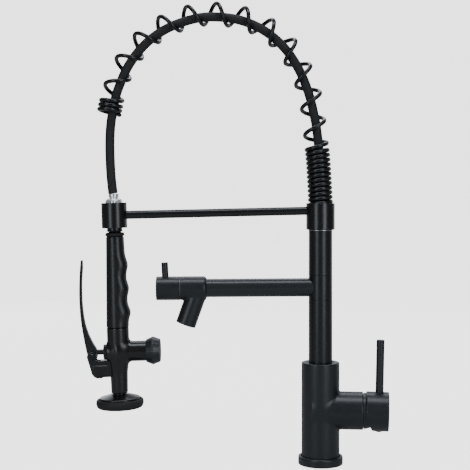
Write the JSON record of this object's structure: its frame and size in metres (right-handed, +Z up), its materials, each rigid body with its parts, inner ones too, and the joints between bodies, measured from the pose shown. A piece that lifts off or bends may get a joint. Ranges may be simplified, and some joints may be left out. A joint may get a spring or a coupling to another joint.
{
  "type": "spring kitchen faucet",
  "caption": "Single-lever kitchen faucet with a spring-supported hose, docked trigger spray and a second swivelling pot-filler spout with its own quarter-turn valve.",
  "frame": {"origin": "centre of the body's flat underside, on the column axis, where the body meets the deck", "axes": "+Z up along the column, -X towards the spouts and the spray, mixer handle on the +X side, -Y towards the user's view in the picture"},
  "size_m": [0.3693, 0.0595, 0.5497],
  "materials": {
    "black_satin": "satin black coating on brass",
    "black_gloss": "glossy black coating on spring steel",
    "black_grip": "satin black moulded grip",
    "rubber": "matt black rubber",
    "chrome": "polished",
    "steel": "brushed",
    "brass": "machined",
    "white_plastic": "moulded"
  },
  "bodies": {
    "mixer_body": {"base_ring": "black_satin", "base_gasket": "rubber", "body": "black_satin", "cartridge": "white_plastic", "cartridge_nut": "brass", "bonnet_dome": "black_satin", "column_bush": "black_grip", "column_grub_screw": "steel"},
    "temperature_rotor": {"cartridge_rotor": "white_plastic", "spindle_pin": "steel"},
    "mixer_handle": {"mixer_spindle": "steel", "handle_hub": "black_satin", "handle_lever": "black_satin", "handle_set_screw": "steel", "handle_index_cap": "black_gloss"},
    "column": {"column_core": "brass", "spout_seal_upper": "rubber", "spout_seal_lower": "rubber", "lower_column": "black_satin", "upper_column": "black_satin", "clamp_washer": "steel", "top_clamp": "black_satin", "clamp_grub_screw": "steel", "hose_nipple": "brass", "support_rod": "black_satin", "dock_ring": "black_satin", "dock_liner": "black_grip", "support_spring": "black_gloss", "hose": "rubber"},
    "spout": {"spout_sleeve": "black_satin", "spout_tube": "black_satin", "spout_valve_body": "black_satin", "spout_nozzle": "black_satin", "aerator": "steel", "spout_valve_core": "brass", "seam_ring": "steel"},
    "spout_knob": {"spout_knob": "black_satin", "spout_knob_pin": "black_satin", "spout_valve_spindle": "brass"},
    "spray": {"hose_ferrule": "chrome", "hose_swivel_nut": "chrome", "spray_connector": "black_satin", "neck_o_ring": "rubber", "grip": "black_grip", "spray_valve_body": "black_satin", "gland_nut": "black_satin", "bonnet_cap_nut": "black_satin", "valve_spring": "steel", "spray_dish": "black_satin", "spray_plate": "black_grip", "bumper_ring": "rubber", "lever_yoke": "black_satin", "pivot_screw": "black_satin"},
    "trigger": {"trigger_lever": "black_satin"},
    "valve_stem": {"valve_stem": "black_satin", "valve_poppet": "rubber"}
  },
  "joints": [
    {"name": "temperature_turn", "type": "hinge", "parent": "mixer_body", "child": "temperature_rotor", "pos_m": [0, 0, 0.0635], "axis": [0.9945, -0.1045, 0], "range_deg": [-45, 45]},
    {"name": "flow_tilt", "type": "hinge", "parent": "temperature_rotor", "child": "mixer_handle", "pos_m": [0.05012, -0.00527, 0.0635], "axis": [0.1045, 0.9945, 0], "range_deg": [0, 24]},
    {"name": "column_swivel", "type": "hinge", "parent": "mixer_body", "child": "column", "pos_m": [0, 0, 0.1], "axis": [0, 0, 1], "continuous": true},
    {"name": "spout_swivel", "type": "hinge", "parent": "column", "child": "spout", "pos_m": [0, 0, 0.2095], "axis": [0, 0, 1], "continuous": true},
    {"name": "spout_valve_turn", "type": "hinge", "parent": "spout", "child": "spout_knob", "pos_m": [-0.18, 0, 0.20824], "axis": [1, 0, 0.007], "range_deg": [0, 90]},
    {"name": "spray_dock", "type": "slide", "parent": "column", "child": "spray", "axis": [0.0311, 0, -0.9995], "range_m": [0, 0.08], "stiffness_N_per_m": 60, "springref_m": -0.25, "deforming": ["support_spring", "hose"]},
    {"name": "trigger_squeeze", "type": "hinge", "parent": "spray", "child": "trigger", "pos_m": [-0.2714, 0, 0.12731], "axis": [0, 1, 0], "range_deg": [0, 13], "stiffness_Nm_per_rad": 4, "springref_deg": -5.73},
    {"name": "stem_push", "type": "slide", "parent": "spray", "child": "valve_stem", "axis": [0.9995, 0, 0.0311], "range_m": [0, 0.00164], "deforming": ["valve_spring"]}
  ],
  "couplings": [
    {"joint": "stem_push", "follows": "trigger_squeeze", "m_per_rad": 0.0072}
  ]
}
